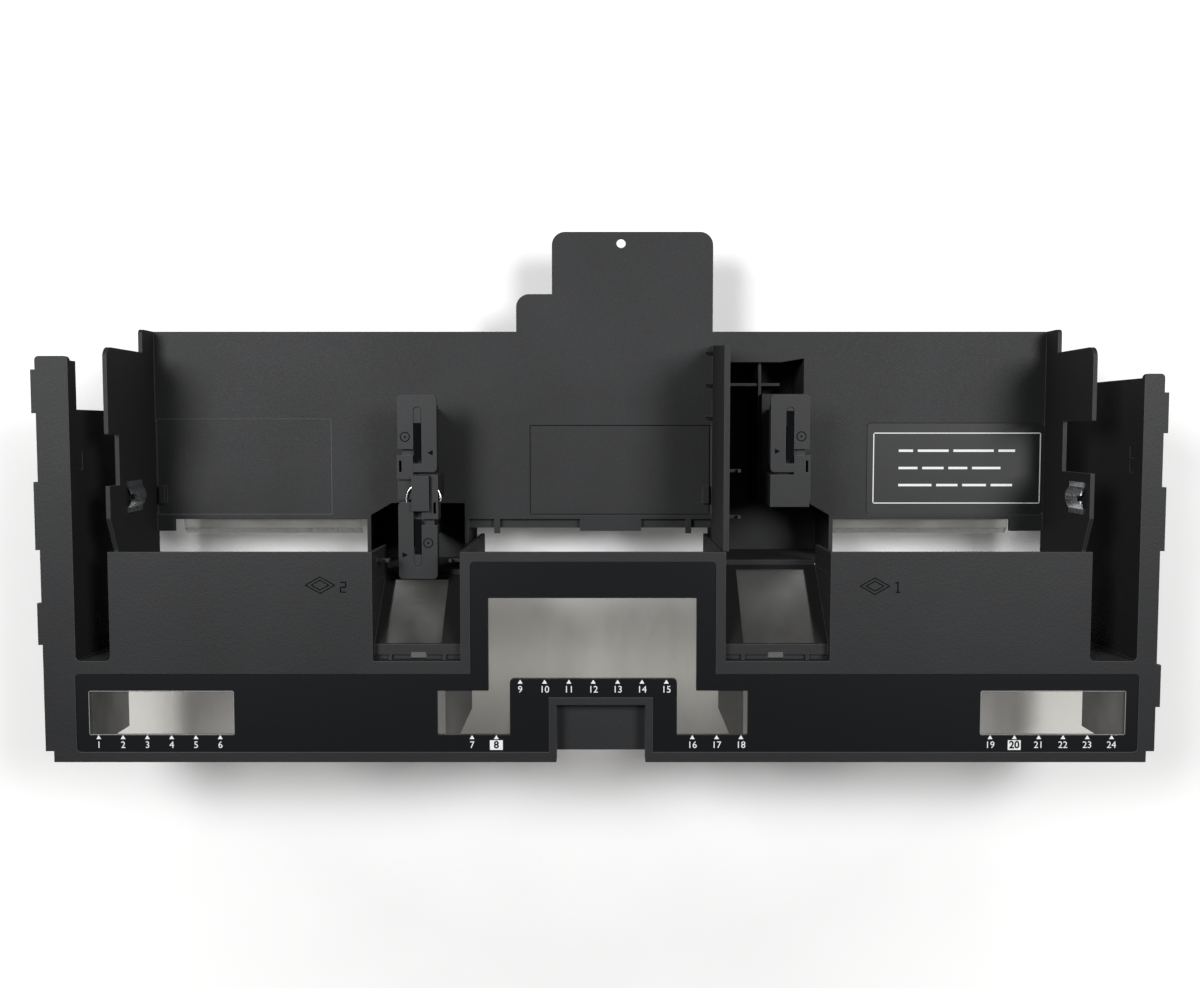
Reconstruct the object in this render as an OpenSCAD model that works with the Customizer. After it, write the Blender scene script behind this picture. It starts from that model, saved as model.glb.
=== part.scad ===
// Air baffle shroud for a two-unit rack server: a moulded hood over the memory and
// processors, with a card tray clipped on behind it. X runs across the chassis, Y from
// the fans to the rear, Z up from the system board. Sizes are in millimetres.

/* [Shroud] */
// Width across the two side strips, teeth left out
shroud_w = 429; // [410:1:440]
// Height of the top face above the board
shroud_h = 77; // [74:0.5:82]
// Thickness of the top skin
skin_t = 2.2; // [1.8:0.1:2.6]
// Thickness of every standing wall
wall_t = 1.6; // [1.2:0.1:2]
// Height of the undersides of the outer walls and of the tray above the board
under_z = 30.5; // [26:0.5:32]

/* [Front hood] */
// Depth of the front band, from the front edge to the slots and pockets
band_d = 39.5; // [38:0.5:42]
// Depth of the hood, from the front edge to the rear edge of the cover plates
hood_d = 81.7; // [80:0.1:84]
// Height of the lip that stiffens the front edge
front_lip_h = 7; // [4:0.5:9]
// Width of the step at each front corner
corner_w = 3.2; // [1:0.1:5]
// Depth of the step at each front corner
corner_d = 4.3; // [2:0.1:6]
// Distance of the left duct wall from the centre line, under the band
duct_left = 60; // [57:0.5:62]
// Distance of the right duct wall from the centre line, under the band
duct_right = 55.6; // [53:0.1:57]

/* [Side strips] */
// Width of the left strip
strip_left_w = 12.5; // [10:0.1:14]
// Width of the right strip
strip_right_w = 7.7; // [6:0.1:9]
// Distance from the front edge to the rear end of the left strip
strip_left_end = 156.5; // [150:0.5:160]
// Distance from the front edge to the rear end of the right strip
strip_right_end = 149.8; // [146:0.1:155]
// Distance from the front edge to where the left side wall steps up to a lip
left_wall_end = 136.3; // [130:0.1:142]
// Height of the lip behind that step and along the outer edges
strip_lip_h = 6.5; // [4:0.5:8]
// How far the locating teeth stand out
tooth_w = 1.7; // [1:0.1:2.5]
// Front edges of the left teeth
teeth_left = [45.8, 82.5, 134.8];
// Lengths of the left teeth
teeth_left_len = [16.2, 26.1, 16.6];
// Front edges of the right teeth
teeth_right = [21.6, 82.1, 127.2];
// Lengths of the right teeth
teeth_right_len = [16.4, 24.5, 15.5];
// Distance from the front edge to the light slits in the side walls
slit_y = 112; // [108:0.1:114]
// Length of the light slits
slit_l = 10; // [7:0.1:12]
// Width of the bar that halves the right slit
slit_bar = 1; // [0.8:0.1:2]
// Height of the light slits in the side walls
slit_h = 2.6; // [1.5:0.1:4]
// Depth of the light slits below the top face
slit_drop = 7.6; // [6:0.1:12]

/* [Plates and pockets] */
// Width across the outer faces of the two bay walls
bay_w = 377.4; // [370:0.2:380]
// Inner edge of the left plate, from the centre line
plate_left_in = 87.5; // [86:0.1:90]
// Inner edge of the right plate, from the centre line
plate_right_in = 88.5; // [86:0.1:90]
// Left edge of the middle block, from the centre line
mid_left = 53.7; // [52:0.1:55]
// Right edge of the middle block, from the centre line
mid_right = 48.3; // [46:0.1:50]
// Corner radius of the strips, the film and the printed tab
pocket_r = 1.6; // [1:0.1:3]
// Radius in the front corners of the side slots
slot_r = 2; // [1:0.1:3]
// Places of the two bridging ribs, as shares of the pocket's width
bridge_at = [0.18, 0.8];
// Width of the light slot in the middle of the ledge
ledge_slot_w = 6; // [4:0.5:8]
// Drop of the ledge at the front of each ramp below the top face
ledge_drop = 3.4; // [3:0.1:6]
// Depth of that ledge from the front of the pocket
ledge_d = 6; // [4:0.1:8]
// Gap between the band and the ledge
ledge_gap = 1.9; // [1:0.1:3]
// Fall of each ramp for one millimetre of run
ramp_slope = 1; // [0.9:0.01:1.1]
// Distance from the front edge to the rear edge of the left ramp
ramp_left_end = 69.4; // [66:0.1:70]
// Distance from the front edge to the rear edge of the right ramp
ramp_right_end = 73; // [70:0.1:74]
// Thickness of the ramps
ramp_t = 1.8; // [1.4:0.1:2.4]
// Widths of the ramp frames left and right of the left window
ramp_left_frame = [4.2, 8];
// Widths of the ramp frames left and right of the right window
ramp_right_frame = [7.5, 5];

/* [Printed film and windows] */
// Thickness of the printed film
film_t = 0.4; // [0.3:0.1:0.6]
// Depth of the recess that the film lies in
film_recess = 0.5; // [0.4:0.1:0.8]
// Left edge of the film, from the left edge of the strip
film_left_in = 12.1; // [10:0.1:14]
// Right edge of the film, from the right edge of the strip
film_right_in = 6.6; // [5:0.1:8]
// Front edge of the film
film_front = 3.9; // [3:0.1:5]
// Rear edge of the film on the band
film_rear = 34.5; // [33:0.1:36]
// Gap round the film in its recess
film_gap = 0.2; // [0.1:0.05:0.3]
// Corner radius of the windows
window_r = 0.6; // [0.4:0.1:1]
// Margin round the film on the middle block
film_mid_in = 3.7; // [3:0.1:5]
// Thickness of the clear panes
pane_t = 0.8; // [0.6:0.1:1]
// How far a pane reaches under the film all round
pane_lap = 1.2; // [0.8:0.1:2]
// Front edge of the lower windows
window_front = 10.6; // [9:0.1:12]
// Rear edge of the lower windows
window_rear = 28; // [26:0.1:29]
// Width of the two outer windows
window_w = 56.2; // [50:0.2:60]
// Outer edge of the left window, from the left edge of the strip
window_left_in = 17; // [15:0.1:20]
// Outer edge of the right window, from the right edge of the strip
window_right_in = 11.4; // [10:0.1:14]
// Rear edge of the middle window
window_mid_rear = 64; // [60:0.1:68]
// Left and right edges of the middle window's wide part
window_mid_x = [-43.1, 37.2];
// Outer edges of the middle window's two legs
window_leg_x = [-62.9, 57.2];
// Left and right edges of the printed tab between the legs
tab_x = [-34.8, 29.7];
// Rear edge of the printed tab
tab_rear = 32.6; // [31:0.1:34]

/* [Front notch] */
// Left and right sides of the notch
notch_x = [-16.9, 17.6];
// Depth of the notch from the front edge
notch_d = 22.4; // [20:0.1:24]
// Drop of the notch floor below the top face
notch_drop = 6; // [4:0.1:6.5]
// Distance from the front edge to the notch floor
notch_open = 3.2; // [2:0.1:5]
// Bare margin between the notch and the film
notch_margin = 2.9; // [2:0.1:4]

/* [Card tray] */
// Thickness of the tray floor
tray_t = 2; // [1.6:0.1:2.4]
// Distance from the front edge of the hood to the front edge of the tray
tray_front = 90.8; // [89:0.1:93]
// Depth of the tray
tray_d = 78.7; // [74:0.1:82]
// Distance from the front edge of the hood to the rear edges of the bay walls
bay_wall_end = 160; // [156:0.5:163]
// Height of the kerb behind the bay walls, above the tray
kerb_h = 11.5; // [8:0.5:14]
// Front edge, length and depth of the cut in the left bay wall
left_cut = [107, 19.8, 9];
// Front edge, length and depth of the cut in the right bay wall
right_cut = [111.8, 20.2, 26];
// Where the top edge of the bay walls starts to fall towards the hood
dip_start = 94.5; // [92:0.5:97]
// How far the top edge falls
dip_h = 6; // [4:0.5:8]
// Left face of the partition wall, from the centre line
partition_x = 47.2; // [46:0.1:48]
// Thickness of the partition wall
partition_t = 2.2; // [1.6:0.1:2.6]
// Distance from the front edge of the hood to the rear edge of the partition top
partition_end = 160.5; // [156:0.5:163]
// Clearance between the hood and the tray
fit_gap = 0.3; // [0.2:0.1:0.4]
// Depth of the label recesses in the tray floor
label_recess = 0.4; // [0.3:0.1:0.6]

// Depth of the front corners and the finger tab in front of the tray's edge
corner_ext = 5; // [4:0.1:6]
// Inner edges of the tray's front corners
corner_x = [-180, 173.3];
// Left and right edges of the finger tab
finger_x = [-8.5, 17.4];
// Places of the two locating pegs on the middle front edge
peg_x = [-43.6, 37.4];
// Drop of the lip under the middle front edge
lip_drop = 2; // [1.5:0.1:3]
// Corners of the left label recess
label_left = [[-187.1, 92.6], [-113.3, 133]];
// Corners of the middle label recess
label_middle = [[-29.5, 92.6], [46.8, 130.4]];
// Corners of the notice recess
label_right = [[112.3, 92.6], [187.1, 131.4]];
// Places of the card rests along the tray, front and rear ends
rest_y = [97.6, 105];
// Height of the card rests
rest_h = 2; // [1:0.5:3]

/* [Snap arms and hooks] */
// Distance from the front edge of the hood to the snap arms
snap_y = 74; // [72:0.5:75]
// Length of a snap arm along the wall
snap_l = 4.4; // [4:0.1:5]
// Height of the snap nubs above the board
snap_z = 62; // [58:0.5:66]
// Height of a snap nub
snap_h = 2.4; // [2:0.1:3]
// Clearance between a snap arm and the bay wall
snap_gap = 0.1; // [0.05:0.05:0.2]
// Depth of the cable hooks below the top face
hook_drop = 11; // [8:0.5:14]
// Reach of a cable hook
hook_l = 5.2; // [4:0.1:7]
// Distance from the front edge to the hooks over the left pocket
hook_hood_y = 77; // [76:0.1:79]
// Places of the hooks on the partition
hook_part_y = [94, 112];

/* [Tongue] */
// Left and right sides of the tongue
tongue_x = [-20.1, 47.2];
// Distance from the front edge of the hood to the tip of the tongue
tongue_end = 210.8; // [200:0.2:216]
// Left side of the step beside the tongue
step_x = -35.1; // [-40:0.1:-30]
// Distance from the front edge of the hood to the rear of the step
step_end = 185.1; // [180:0.1:190]
// Corner radius of the tongue
tongue_r = 5.5; // [3:0.5:8]
// Diameter of the hole in the tongue
hole_d = 3.9; // [3:0.1:5]
// Place of the hole across the shroud
hole_x = 8.8; // [0:0.1:20]
// Distance from the hole to the tip of the tongue
hole_in = 4.7; // [4:0.1:8]

/* [Cable wells] */
// Height of the well floors above the board
well_floor = 2; // [1:0.5:4]
// Distance from the centre line to the outer side of the wells
well_out = 96.8; // [95:0.1:98]
// Distance from the centre line to the narrow part of the wells
well_waist = 88; // [87:0.1:89]
// Where the wells start to narrow
well_taper = [92.5, 97.6];
// Left side of the lock peninsula beside the right well
well_in = 68; // [67:0.1:69]
// Rear edge of the lock peninsula
well_shelf = 143.5; // [143:0.1:145]
// Rear edge of the right well
well_end = 156.8; // [155:0.1:158]
// Right edge of the right well behind the peninsula
well_rear_out = 85.6; // [84:0.1:87]
// Right side of the left well, from the centre line
well_left_in = 57.2; // [57:0.1:58]
// Thickness of the ribs in the wells
rib_t = 1.2; // [0.8:0.1:1.6]

/* [Locks] */
// Width of a lock slider
slider_w = 15.4; // [14:0.1:16]
// Length of a lock slider
slider_l = 30.6; // [29:0.1:33]
// Thickness of a lock slider
slider_t = 2; // [1.6:0.1:2.4]
// Height of the slider tops above the board
lock_top = 60; // [60:0.5:64]
// Width of the slot in a slider
slot_w = 3.3; // [3:0.1:4]
// Length of the slot in a slider
slot_l = 22.5; // [20:0.1:24]
// Length of the closed end of a slider
slider_end = 4.7; // [4:0.1:6]
// Length of the open mouth in the side of the slot
mouth_l = 5.7; // [5:0.1:7]
// Travel of a slider from locked to open
lock_travel = 7; // [4:0.5:7]
// Clearance all round a slider
lock_gap = 0.15; // [0.1:0.05:0.3]
// Centre line of the two left locks across the shroud
lock_left_x = -72.5; // [-73:0.1:-72]
// Centre line of the right lock across the shroud
lock_right_x = 75.4; // [75:0.1:76]
// Distance from the front edge of the hood to the middle of the lock blocks
lock_y = 105.7; // [105:0.1:106]
// Length of a lock block
lock_block_l = 10; // [9:0.1:11]
// Gap between a lock block and the hook end of its slider
lock_hook_gap = 1; // [0.5:0.1:1.5]
// Thickness of the flange that a slider grips
flange_t = 1.4; // [1:0.1:1.8]
// Width of the stem under that flange
stem_w = 9; // [8:0.1:9.5]

// Width of the cap on the left lock
cap_w = 6.8; // [6:0.1:8]
// Height of that cap above the sliders
cap_h = 2; // [1.5:0.1:3]
// Offset of the cap to the right of the block's middle
cap_x = 1.4; // [1:0.1:2]
// Where the cap ends behind the middle of the block
cap_rear = 4.6; // [4:0.1:5]
// Radius of the spring ring under the cap
ring_r = 6.8; // [6:0.1:7]
// Thickness of the ring's wire
ring_wire = 1; // [0.8:0.1:1.2]
// Centre of the ring, from the middle of the block
ring_at = [2.2, -5];

/* [Side clips] */
// Height of the clips' lower edges above the tray, left and right
clip_z = [16, 27]; // [10:1:28]
// Height of a clip
clip_h = 13.5; // [10:0.5:15]
// Length of a clip along the wall
clip_l = 9.6; // [8:0.2:11]
// Distance from the front edge of the hood to the clips
clip_y = 97.2; // [96:0.1:98]
// Thickness of the clip's spring strip
clip_t = 0.6; // [0.4:0.1:0.8]
// How far a clip bows into the bay
clip_bow = 2.2; // [1.5:0.1:3]
// Diameter of the rivet that holds a clip
rivet_d = 2.6; // [2:0.1:3]

/* [Film flaps] */
// Thickness of the clear flaps
flap_t = 0.4; // [0.3:0.1:0.6]
// Left and right edges of the left flap
flap_left_x = [-176.6, -101.4];
// Left and right edges of the right flap
flap_right_x = [99, 173];
// How far a flap reaches out in front of the tray
flap_reach = 6.6; // [5:0.1:7]
// How far a flap is glued under the tray
flap_glued = 4; // [3:0.5:6]

/* [Hidden] */
$fn = 48;
eps = 0.01;

half_w = shroud_w / 2;
under_skin = shroud_h - skin_t;
tray_z = under_z + tray_t;
tray_rear = tray_front + tray_d;
bay_x = bay_w / 2;
left_in = -half_w + strip_left_w;
right_in = half_w - strip_right_w;
pocket_front = band_d;
partition_right = partition_x + partition_t;
total_d = tongue_end;
film_z = shroud_h - film_recess;
pane_z = film_z - pane_t;

// Height of a ramp's top face at a distance y from the front edge
function ramp_z(y) = shroud_h - ledge_drop - ramp_slope * max(0, y - pocket_front - ledge_d);

// Puts the origin under the middle of the bounding box
module placed() translate([0, -total_d / 2, 0]) children();

// A box given by its lowest and highest corners
module span(low, high) translate(low) cube([for (i = [0:2]) high[i] - low[i]]);

// A rectangle with round corners, given by two corners
module rounded(low, high, r) {
    w = high[0] - low[0];
    d = high[1] - low[1];
    translate(low) union() {
        translate([r, 0]) square([w - 2 * r, d]);
        translate([0, r]) square([w, d - 2 * r]);
        for (x = [r, w - r], y = [r, d - r]) translate([x, y]) circle(r);
    }
}

// A wall whose outline is drawn in Y and Z, between two places in X
module side_wall(x0, x1, points)
    translate([x0, 0, 0]) rotate([90, 0, 90]) linear_extrude(x1 - x0) polygon(points);

// A cable hook that stands out from a wall
module cable_hook(x, y, side) translate([x, y, shroud_h - hook_drop]) scale([side, 1, 1]) {
    translate([-eps, 0, 0]) cube([hook_l, rib_t, 2]);
    translate([hook_l - rib_t, 0, 0]) cube([rib_t, rib_t, 4]);
}

// ---- Front hood ----

// Fills the front corner of a side slot to a radius
module slot_corner(x, side) translate([x, band_d]) scale([side, 1]) difference() {
    translate([-eps, -eps]) square(slot_r + eps);
    translate([slot_r, slot_r]) circle(slot_r);
}

// Outline of the top skin
module skin_outline() difference() {
    union() {
        translate([-half_w, corner_d]) square([shroud_w, band_d - corner_d]);
        translate([-half_w + corner_w, 0]) square([shroud_w - 2 * corner_w, band_d]);
        rounded([-half_w, corner_d], [left_in, strip_left_end], pocket_r);
        rounded([right_in, corner_d], [half_w, strip_right_end], pocket_r);
        translate([-bay_x, 0]) square([bay_x - plate_left_in, hood_d]);
        translate([plate_right_in, 0]) square([bay_x - plate_right_in, hood_d]);
        translate([-mid_left, 0]) square([mid_left + mid_right, hood_d]);
        for (c = [[left_in, 1], [-bay_x, -1], [bay_x, 1], [right_in, -1]]) slot_corner(c[0], c[1]);
        for (i = [0:len(teeth_left) - 1])
            translate([-half_w - tooth_w, teeth_left[i]]) square([2 * tooth_w, teeth_left_len[i]]);
        for (i = [0:len(teeth_right) - 1])
            translate([half_w - tooth_w, teeth_right[i]]) square([2 * tooth_w, teeth_right_len[i]]);
    }
    translate([notch_x[0], -eps]) square([notch_x[1] - notch_x[0], notch_d + eps]);
}

// Outline of the three windows as the film shows them
module left_window_outline(grow = 0) {
    x = -half_w + window_left_in;
    rounded([x - grow, window_front - grow], [x + window_w + grow, window_rear + grow], window_r);
}
module right_window_outline(grow = 0) {
    x = half_w - window_right_in;
    rounded([x - window_w - grow, window_front - grow], [x + grow, window_rear + grow], window_r);
}
module middle_window_outline(grow = 0) difference() {
    union() {
        rounded([window_mid_x[0] - grow, window_front - grow],
                [window_mid_x[1] + grow, window_mid_rear + grow], window_r);
        rounded([window_leg_x[0] - grow, window_front - grow],
                [window_leg_x[1] + grow, window_rear + grow], window_r);
    }
    rounded([tab_x[0] + grow, -2 * pocket_r], [tab_x[1] - grow, tab_rear - grow], pocket_r);
}

// Outline of the printed film, an upside-down T cut round the notch
module film_outline(gap = 0) {
    left = -half_w + film_left_in + gap;
    right = half_w - film_right_in - gap;
    difference() {
        union() {
            rounded([left, film_front + gap], [right, film_rear - gap], pocket_r);
            rounded([-mid_left + film_mid_in + gap, film_front + gap],
                    [mid_right - film_mid_in - gap, hood_d - film_mid_in - gap], pocket_r);
        }
        translate([notch_x[0] - notch_margin - gap, 0])
            square([notch_x[1] - notch_x[0] + 2 * (notch_margin + gap), notch_d + notch_margin + gap]);
    }
}

// Walls that hang from the skin and make the air ducts
module hood_walls() {
    drop = under_skin + eps;
    // Side walls, with the left one stepped up to a lip behind
    side_wall(left_in - wall_t, left_in,
              [[wall_t, under_z], [left_wall_end, under_z], [left_wall_end, shroud_h - strip_lip_h],
               [strip_left_end - pocket_r, shroud_h - strip_lip_h], [strip_left_end - pocket_r, drop],
               [wall_t, drop]]);
    side_wall(right_in, right_in + wall_t,
              [[wall_t, under_z], [strip_right_end - pocket_r, under_z],
               [strip_right_end - pocket_r, drop], [wall_t, drop]]);
    // Lips turned down along the outer edges of the strips
    span([-half_w, corner_d, shroud_h - strip_lip_h], [-half_w + wall_t, strip_left_end - pocket_r, drop]);
    span([half_w - wall_t, corner_d, shroud_h - strip_lip_h], [half_w, strip_right_end - pocket_r, drop]);
    // Front lip
    for (x = [[-half_w + corner_w, notch_x[0]], [notch_x[1], half_w - corner_w]])
        span([x[0], 0, shroud_h - front_lip_h], [x[1], wall_t, drop]);
    // Funnels round the side slots
    span([left_in - eps, band_d - wall_t, under_z], [-bay_x, band_d, drop]);
    span([bay_x, band_d - wall_t, under_z], [right_in + eps, band_d, drop]);
    for (x = [-bay_x, bay_x - wall_t])
        span([x, band_d - wall_t, under_z], [x + wall_t, ramp_left_end, drop]);
    // Middle duct, straight under the band and stepped in beside the pockets
    span([-duct_left, wall_t, 0], [-duct_left + wall_t, band_d, drop]);
    span([duct_right - wall_t, wall_t, 0], [duct_right, band_d, drop]);
    span([-duct_left, band_d - wall_t, 0], [-mid_left + wall_t, band_d, drop]);
    span([mid_right - wall_t, band_d - wall_t, 0], [duct_right, band_d, drop]);
    span([-mid_left, band_d - wall_t, 0], [-mid_left + wall_t, hood_d, drop]);
    span([mid_right - wall_t, band_d - wall_t, 0], [mid_right, hood_d, drop]);
}

// Ribs that stiffen the skin from below
module hood_ribs() {
    rib_h = front_lip_h - skin_t;
    z = under_skin - rib_h;
    for (x = [[-bay_x, -plate_left_in - wall_t], [plate_right_in + wall_t, bay_x]]) {
        // The rear rib stops short of the tray's bay walls
        inset = 2 * wall_t + snap_gap + fit_gap;
        span([max(x[0], -bay_x + inset), hood_d - 2 * rib_t, z],
             [min(x[1], bay_x - inset), hood_d - rib_t, under_skin + eps]);
        span([x[0], (band_d + hood_d) / 2, z], [x[1], (band_d + hood_d) / 2 + rib_t, under_skin + eps]);
        for (k = [1:3]) {
            rx = x[0] + k * (x[1] - x[0]) / 4;
            span([rx, band_d - rib_t, z], [rx + rib_t, hood_d - rib_t, under_skin + eps]);
        }
    }
    for (x = [[left_in, -duct_left + eps], [duct_right - eps, right_in]])
        span([x[0], band_d - rib_t, z], [x[1], band_d, under_skin + eps]);
}

// Snap arms under the plates; their nubs catch in windows of the tray's bay walls
module snap_arms() for (s = [-1, 1]) scale([s, 1, 1]) {
    x = bay_x - wall_t - snap_gap;
    span([x - wall_t, snap_y, snap_z - 1], [x, snap_y + snap_l, under_skin + eps]);
    span([x - eps, snap_y, snap_z], [x + snap_gap + wall_t, snap_y + snap_l, snap_z + snap_h]);
}

// One pocket: side cheeks, ledge, two bridging ribs and the framed ramp
module pocket(x0, x1, end, frame) {
    ledge_z = ramp_z(pocket_front);
    ledge_y = pocket_front + ledge_gap;
    knee = pocket_front + ledge_d;
    cheek = [[pocket_front, under_skin + eps], [pocket_front, ledge_z - ramp_t], [knee, ledge_z - ramp_t],
             [end, ramp_z(end) - ramp_t], [end, under_skin + eps]];
    for (x = [x0 - wall_t, x1]) side_wall(x, x + wall_t, cheek);
    // Upright behind the band that the bridging ribs spring from
    span([x0 - eps, pocket_front - wall_t, ledge_z - ramp_t], [x1 + eps, pocket_front, under_skin + eps]);
    for (k = bridge_at) {
        x = x0 + (x1 - x0) * k;
        span([x - rib_t / 2, pocket_front - eps, ledge_z - ramp_t], [x + rib_t / 2, ledge_y + eps, ledge_z]);
    }
    difference() {
        side_wall(x0 - eps, x1 + eps,
                  [[ledge_y, ledge_z - ramp_t], [knee, ledge_z - ramp_t], [end, ramp_z(end) - ramp_t],
                   [end, ramp_z(end)], [knee, ledge_z], [ledge_y, ledge_z]]);
        // Window in the slope, and the light slot in the ledge
        span([x0 + frame[0], knee, 0], [x1 - frame[1], end - ramp_t, shroud_h]);
        span([(x0 + x1 - ledge_slot_w) / 2, ledge_y - eps, 0],
             [(x0 + x1 + ledge_slot_w) / 2, ledge_y + 1, shroud_h]);
    }
}

module front_hood() color("#24262a") placed() difference() {
    union() {
        translate([0, 0, under_skin]) linear_extrude(skin_t) skin_outline();
        hood_walls();
        hood_ribs();
        snap_arms();
        // Cable hooks over the left pocket
        cable_hook(-mid_left, hook_hood_y, -1);
        cable_hook(-plate_left_in - eps, hook_hood_y, 1);
        span([-plate_left_in - wall_t, hook_hood_y - 1, shroud_h - hook_drop],
             [-plate_left_in, hook_hood_y + rib_t + 1, under_skin + eps]);
        pocket(-plate_left_in, -mid_left, ramp_left_end, ramp_left_frame);
        pocket(mid_right, plate_right_in, ramp_right_end, ramp_right_frame);
        // Sunk floor and sides of the front notch
        span([notch_x[0] - wall_t, notch_open, shroud_h - notch_drop - skin_t],
             [notch_x[1] + wall_t, notch_d + wall_t, shroud_h - notch_drop]);
        for (x = [notch_x[0] - wall_t, notch_x[1]])
            span([x, 0, shroud_h - front_lip_h], [x + wall_t, notch_d + wall_t, under_skin + eps]);
        span([notch_x[0] - wall_t, notch_d, shroud_h - front_lip_h],
             [notch_x[1] + wall_t, notch_d + wall_t, under_skin + eps]);
    }
    translate([0, 0, film_z]) linear_extrude(skin_t) film_outline();
    translate([0, 0, pane_z]) linear_extrude(skin_t) {
        left_window_outline(pane_lap);
        middle_window_outline(pane_lap);
        right_window_outline(pane_lap);
    }
    translate([0, 0, under_skin]) linear_extrude(skin_t) {
        left_window_outline();
        middle_window_outline();
        right_window_outline();
    }
    // Light slits in the side walls
    slit_z = shroud_h - slit_drop - slit_h;
    span([left_in - 2 * wall_t, slit_y + slit_bar, slit_z], [left_in + eps, slit_y + slit_l - 2 * slit_bar, slit_z + slit_h]);
    for (y = [slit_y, slit_y + (slit_l + slit_bar) / 2])
        span([right_in - eps, y, slit_z], [right_in + 2 * wall_t, y + (slit_l - slit_bar) / 2, slit_z + slit_h]);
}

module printed_film() color("#1a1b1e") placed()
    translate([0, 0, film_z]) linear_extrude(film_t) difference() {
        film_outline(film_gap);
        left_window_outline();
        middle_window_outline();
        right_window_outline();
    }

module pane() translate([0, 0, pane_z]) linear_extrude(pane_t) children();
module window_left() color("#cfd6da", 0.4) placed() pane() left_window_outline(pane_lap - film_gap);
module window_middle() color("#cfd6da", 0.4) placed() pane() middle_window_outline(pane_lap - film_gap);
module window_right() color("#cfd6da", 0.4) placed() pane() right_window_outline(pane_lap - film_gap);

// A clear pane glued under the window of a ramp
module ramp_pane(x0, x1, end, frame) {
    knee = pocket_front + ledge_d;
    top = ramp_z(knee) - ramp_t;
    low = ramp_z(end) - ramp_t;
    side_wall(x0 + frame[0] - pane_lap, x1 - frame[1] + pane_lap,
              [[knee, top], [end, low], [end, low - pane_t], [knee, top - pane_t]]);
}
module window_ramp_left() color("#cfd6da", 0.4) placed()
    ramp_pane(-plate_left_in, -mid_left, ramp_left_end, ramp_left_frame);
module window_ramp_right() color("#cfd6da", 0.4) placed()
    ramp_pane(mid_right, plate_right_in, ramp_right_end, ramp_right_frame);

// ---- Card tray ----

// Moves every side of a counter-clockwise outline outwards by g
function grown(points, g) = let (n = len(points)) [
    for (i = [0:n - 1])
        let (d1 = points[i] - points[(i + n - 1) % n], d2 = points[(i + 1) % n] - points[i],
             n1 = [d1[1], -d1[0]] / norm(d1), n2 = [d2[1], -d2[0]] / norm(d2))
            points[i] + g * (n1 + n2) / (1 + n1 * n2)];

left_well_front = ramp_left_end + fit_gap + wall_t;
right_well_front = ramp_right_end + fit_gap + wall_t;
right_well_in = mid_right + fit_gap + wall_t;
left_well = [[-well_out, left_well_front], [-well_left_in, left_well_front],
             [-well_left_in, well_taper[1]], [-well_waist, well_taper[1]], [-well_out, well_taper[0]]];
right_well = [[right_well_in, right_well_front], [well_out, right_well_front], [well_out, well_taper[0]],
              [well_waist, well_taper[1]], [well_in, well_taper[1]], [well_in, well_shelf],
              [well_rear_out, well_shelf], [well_rear_out, well_end + wall_t],
              [well_in + 8, well_end], [right_well_in, well_end]];

// Outline of the tray floor with its tongue, the step beside it and its front corners
module floor_outline() difference() {
    union() {
        translate([-bay_x, tray_front]) square([bay_w, tray_d]);
        rounded([tongue_x[0], tray_front], [tongue_x[1], tongue_end], tongue_r);
        rounded([step_x, tray_front], [tongue_x[0] + 2 * tongue_r, step_end], tongue_r);
        // Front corners, finger tab and locating pegs
        for (x = [[-bay_x, corner_x[0]], finger_x, [corner_x[1], bay_x]])
            translate([x[0], tray_front - corner_ext]) square([x[1] - x[0], corner_ext + 1]);
        for (x = peg_x) translate([x - rib_t, tray_front - corner_ext - 1])
            square([2 * rib_t, corner_ext + 2]);
    }
    translate([hole_x, tongue_end - hole_in]) circle(d = hole_d);
}

// One bay wall, with its cut, its falling front end, its round rear corner and the kerb
module bay_wall(x, cut) {
    front = ramp_left_end + fit_gap;
    r = 4;
    translate([x, 0, 0]) rotate([90, 0, 90]) linear_extrude(wall_t) difference() {
        union() {
            polygon([[front, under_z], [tray_rear, under_z], [tray_rear, tray_z + kerb_h],
                     [bay_wall_end, tray_z + kerb_h], [bay_wall_end, shroud_h - r], [bay_wall_end - r, shroud_h],
                     [dip_start, shroud_h], [hood_d, shroud_h - dip_h], [front, shroud_h - dip_h]]);
            translate([bay_wall_end - r, shroud_h - r]) circle(r);
        }
        translate([cut[0], shroud_h - cut[2]]) square([cut[1], cut[2] + r]);
        // Window for the hood's snap nub
        translate([snap_y, snap_z] - [fit_gap, fit_gap]) square([snap_l, snap_h] + 2 * [fit_gap, fit_gap]);
        translate([tray_rear - 2, tray_z + kerb_h - 2]) difference() {
            square(3);
            circle(2);
        }
    }
}

// Partition between the middle bay and the right well, with its leaning rear edge
module partition() {
    front = hood_d + fit_gap;
    lean = 3.4;
    side_wall(partition_x, partition_right,
              [[front, under_z], [partition_end + lean, under_z], [partition_end, shroud_h],
               [front, shroud_h]]);
    // Gussets at the foot
    for (y = [133, 146.6, 160])
        translate([partition_x + eps, y + rib_t, tray_z - eps]) rotate([90, 0, 0])
            linear_extrude(rib_t) polygon([[0, 0], [0, 3.4], [-3, 0]]);
    // Cable hooks over the well
    for (y = hook_part_y) cable_hook(partition_right, y, 1);
}

// Walls, floor and ribs of one cable well
module well(points, front_z) {
    outer = grown(points, wall_t);
    difference() {
        union() {
            linear_extrude(tray_z) polygon(outer);
            span([outer[0][0], outer[0][1], 0], [outer[1][0], points[0][1], front_z]);
        }
        translate([0, 0, well_floor]) linear_extrude(shroud_h) polygon(points);
    }
}

// Shallow recess for a label
module recess(corners) translate([0, 0, tray_z - label_recess]) linear_extrude(tray_t)
    rounded(corners[0], corners[1], pocket_r);

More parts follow.
